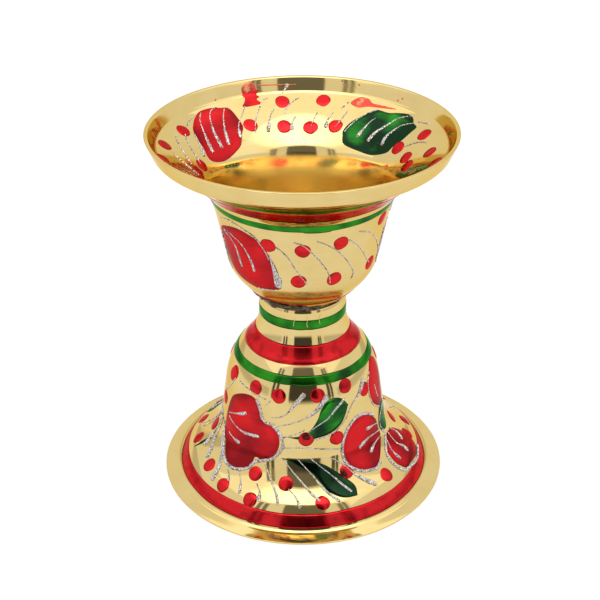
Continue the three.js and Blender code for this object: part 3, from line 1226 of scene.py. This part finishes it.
FLARE_DROPS = [
    [(-166.5, 11), (-164, 13), (-162, 16), (-160, 19)],
    [(-177, 14), (-175, 16), (-174, 19)],
    [(164, 12), (166, 15), (166.5, 18)],
    [(-171.5, 5.2), (-173, 3.8), (-174.2, 2.2)],
]
FLARE_STROKES = [
    [(-126, 6.5), (-121, 7.5), (-117.5, 8.5)],
    [(-106.5, 8.5), (-104, 9.5), (-99.5, 12), (-96, 14.5), (-91.5, 17)],
    [(-112, 10), (-106, 14), (-103.5, 16.5), (-99, 19.5)],
    [(-90.5, 10.5), (-88, 13), (-86.5, 15.5), (-85.5, 20)],
    [(-153, 8.5), (-150, 11), (-148, 12.5)],
    [(-165, 6.5), (-162, 7.5), (-159, 10.5), (-155, 14.5), (-152.5, 18.5)],
    [(-179, 7), (-175, 9), (-172, 11.5), (-171.5, 13)],
    [(143, 8.5), (148, 11.5), (152, 15), (155, 18.5)],
    [(158, 7.5), (160.5, 10.5)],
    [(157, 11), (159, 14.5), (161, 17.5)],
    [(172, 12.5), (173.5, 15), (175, 18)],
    [(111.5, 16), (106.5, 12.5), (101, 10.5)],
    [(119, 7.5), (112.5, 6)],
]
FLARE_DOTS = [
    (-171, 8.5), (-151.5, 15.5), (-170, 17.5), (-113, 9), (-93, 7.5), (-78, 7), (-99.5, 20),
    (-89, 19.5), (170, 8), (175, 18), (161, 17), (108, 9.5), (90.5, 11), (115, 17.5),
    (102.5, 18), (94, 19),
]
NEAR_DOTS = [(-68, 9), (-24, 18), (-12, 18), (4, 9), (15, 18), (63, 18), (76, 9)]
FLARE_BLOT = [
    (-151.8, 8.6), (-153.5, 7), (-154.5, 5.6), (-153.8, 4.2), (-156, 3.4), (-156.5, 2.4),
    (-158.5, 1.6), (-159.5, 3), (-161.5, 3.6), (-160.2, 4.8), (-161.2, 5.8), (-159.6, 6.6),
    (-161, 8.4), (-156.5, 8.9),
]
LIP_SMEAR = [
    (157, 8.2), (156, 6.4), (153, 5), (149.5, 5.4), (147, 6.6), (142.5, 6.6), (134, 6.4),
    (140, 7.4), (148, 8.2), (152.5, 9.2),
]
LIP_LINE = [(-161, 2), (-169, 2.4), (-178, 2.6)]
WIPED_EDGE = [
    (-160.2, 2.4), (-159, 0.9), (-156.5, 0.7), (-154.4, 1.6), (-154, 3.8), (-156.5, 4.6),
    (-160, 4),
]
LIP_SPECKS = [(-141, 4), (155.5, 1.4), (136, 3.5), (134, 2.6), (163, 0.9)]
BLOT_GRID = (72, 5)
SMEAR_GRID = (48, 5)
EDGE_GRID = (36, 5)
SPECK_RADIUS = 0.3
LIP_LINE_WIDTH = 0.3
NEAR_PETAL_TURN = 170.0
NEAR_LEAF_TURN = -182.0

painted("flare_petals", red_lacquer, [
    (blob, flare_wall, moved(FLARE_PETAL, turn)) for turn in (0.0, NEAR_PETAL_TURN)
])
painted("flare_leaves", leaf_lacquer, [
    (blob, flare_wall, moved(FLARE_LEAF, turn)) for turn in (0.0, NEAR_LEAF_TURN)
])
painted("flare_dots", red_dab, [
    *dots(flare_wall, FLARE_DOTS + NEAR_DOTS),
    (blob, flare_wall, FLARE_BLOT, BLOT_GRID),
])
painted("flare_smears", wiped_red, [
    *dots(flare_wall, LIP_SPECKS, SPECK_RADIUS),
    (blob, flare_wall, LIP_SMEAR, SMEAR_GRID),
    (blob, flare_wall, WIPED_EDGE, EDGE_GRID),
    (stroke, flare_wall, LIP_LINE, LIP_LINE_WIDTH),
])
painted("flare_glitter", glitter, [
    *drops(flare_wall, FLARE_PETAL_DROPS + FLARE_LEAF_DROPS + FLARE_DROPS),
    *fine_lines(flare_wall, FLARE_STROKES),
    *drops(flare_wall, all_moved(FLARE_PETAL_DROPS, NEAR_PETAL_TURN)),
    *drops(flare_wall, all_moved(FLARE_LEAF_DROPS, NEAR_LEAF_TURN)),
])

# %% [markdown]
# The lamp stands on a plain white floor. The floor looks white to the camera and in the
# metal because it glows a little for them, and it is darker as a surface, so that it
# keeps the lamp's shadow and throws little light up at the metal.

# %% Floor
FLOOR_HALF = 2000.0
FLOOR_LEVEL = -0.05
FLOOR_COLOUR = (0.3, 0.3, 0.3, 1)
FLOOR_GLOW = 0.74


def stage_card(name, corners, material):
    card = bmesh.new()
    card.faces.new([card.verts.new(Vector(corner) * MM) for corner in corners])
    placed = new_object(name, card, material)
    return placed


def flat_corners(half_width, half_depth, level=0.0):
    signs = [(-1, -1), (1, -1), (1, 1), (-1, 1)]
    return [(x * half_width, y * half_depth, level) for x, y in signs]


def white_floor():
    floor = Finish("white_floor")
    path = "ShaderNodeLightPath"
    seen = floor.node(path, None, None, "Is Camera Ray")
    seen = seen + floor.node(path, None, None, "Is Glossy Ray")
    seen = (seen + floor.node(path, None, None, "Is Transmission Ray")).clamped()
    paint = floor.node("ShaderNodeBsdfDiffuse", None, {"Color": FLOOR_COLOUR})
    glow = floor.emission(seen * FLOOR_GLOW)
    return floor.wired(floor.node("ShaderNodeAddShader", None, {0: paint, 1: glow}))


stage_card("floor", flat_corners(FLOOR_HALF, FLOOR_HALF, FLOOR_LEVEL), white_floor())

# %% [markdown]
# Polished brass has no look of its own: what it reflects is its look. So cards stand
# round the lamp that only the metal sees. A dark card behind the camera gives the dark
# block down the middle, narrow smoke cards on both sides of it give the pairs of fine
# dark lines, bright cards light the sides, and grey cards low all round give the metal
# its roundness. Those that reach the floor fade to white there.

# %% Cards that only the metal sees
CARD_FADE = (0.0, 35.0)
CARD_CHANGE = (215.0, 265.0)
SLIT_CARDS = [(-43.5, 13), (-37.5, 14), (37, 15), (41.7, 11)]
BRIGHT_CARDS = [("left_panel", -75), ("right_panel", 75)]
SIDE_CARDS = [-155, -125, -95, -65, 65, 95, 125, 155]


def only_reflected(card):
    card.visible_camera = False
    card.visible_diffuse = False
    card.visible_shadow = False


def glowing_card(name, radiance, top_radiance):
    """A finish that fades to white towards the floor, with its own radiance up high."""
    card = Finish(name)
    height = card.height(card.place())
    low = 1.0 - height.between(*CARD_FADE)
    high = height.between(*CARD_CHANGE)
    strength = low * (1.0 - radiance) + high * (top_radiance - radiance) + radiance
    return card.wired(card.emission(strength))


def upright_card(name, material, degrees, half_width, heights, distance):
    """A card that stands round the lamp and faces it."""
    turn = math.radians(degrees)
    middle = Vector((math.sin(turn), -math.cos(turn), 0)) * distance
    side = Vector((math.cos(turn), math.sin(turn), 0)) * half_width
    low, high = heights
    feet = [middle - side, middle + side]
    corners = [(foot.x, foot.y, low) for foot in feet]
    corners += [(foot.x, foot.y, high) for foot in reversed(feet)]
    only_reflected(stage_card(name, corners, material))


dark = glowing_card("dark_card", radiance=0.07, top_radiance=0.2)
smoke = glowing_card("smoke_card", radiance=0.1, top_radiance=0.25)
grey = glowing_card("grey_card", radiance=0.7, top_radiance=0.7)
bright = glowing_card("bright_card", radiance=1.35, top_radiance=1.35)
upright_card("front_card", dark, 0.6, half_width=128, heights=(0, 440), distance=345)
for i, (degrees, half_width) in enumerate(SLIT_CARDS):
    upright_card(f"slit_card_{i}", smoke, degrees, half_width, heights=(0, 400), distance=400)
for name, degrees in BRIGHT_CARDS:
    upright_card(name, bright, degrees, half_width=230, heights=(330, 650), distance=420)
for i, degrees in enumerate(SIDE_CARDS):
    upright_card(f"side_card_{i}", grey, degrees, half_width=130, heights=(0, 110), distance=480)
print("cards round the lamp:", 1 + len(SLIT_CARDS) + len(BRIGHT_CARDS) + len(SIDE_CARDS))

# %% [markdown]
# A level panel in front of the lamp and above it is what the slopes that face the viewer
# reflect. It is hottest in its middle, as a softbox is, and that gives the metal its
# shine.

# %% Front panel
PANEL_PLACE = (0.0, -170.0, 480.0)
PANEL_HALF = (340.0, 175.0)
PANEL_RADIANCE = 1.45
PANEL_HOT = 3.1
PANEL_REACH = 330.0
PANEL_FALLOFF = (0.35, 1.0)


def hot_panel(name):
    """A softbox that is brightest in the middle."""
    panel = Finish(name)
    spot = panel.scaled(panel.place(), 1 / PANEL_REACH)
    near = 1.0 - panel.vector("LENGTH", spot, output="Value").between(*PANEL_FALLOFF)
    return panel.wired(panel.emission(near * (PANEL_HOT - PANEL_RADIANCE) + PANEL_RADIANCE))


panel = stage_card("front_panel", flat_corners(*PANEL_HALF), hot_panel("front_panel_glow"))
panel.location = Vector(PANEL_PLACE) * MM
only_reflected(panel)

# %% [markdown]
# The light itself is plain: a white room lights the lamp evenly from all sides, and one
# large softbox overhead adds a soft shadow under the flange and the flare.

# %% Softbox and room
SOFTBOX_SIDE = 0.8
SOFTBOX_HEIGHT = 0.62
SOFTBOX_RADIANCE = 0.45

softbox = bpy.data.lights.new("softbox", "AREA")
softbox.size = SOFTBOX_SIDE
softbox.energy = SOFTBOX_RADIANCE * math.pi * SOFTBOX_SIDE**2
softbox_object = bpy.data.objects.new("softbox", softbox)
softbox_object.location = (0, 0, SOFTBOX_HEIGHT)
softbox_object.visible_camera = False
bpy.context.scene.collection.objects.link(softbox_object)

world = bpy.data.worlds.new("white_room")
world.use_nodes = True
background = world.node_tree.nodes["Background"]
background.inputs["Color"].default_value = (1, 1, 1, 1)
background.inputs["Strength"].default_value = 1.0
bpy.context.scene.world = world
print("softbox, watts:", round(softbox.energy, 2))
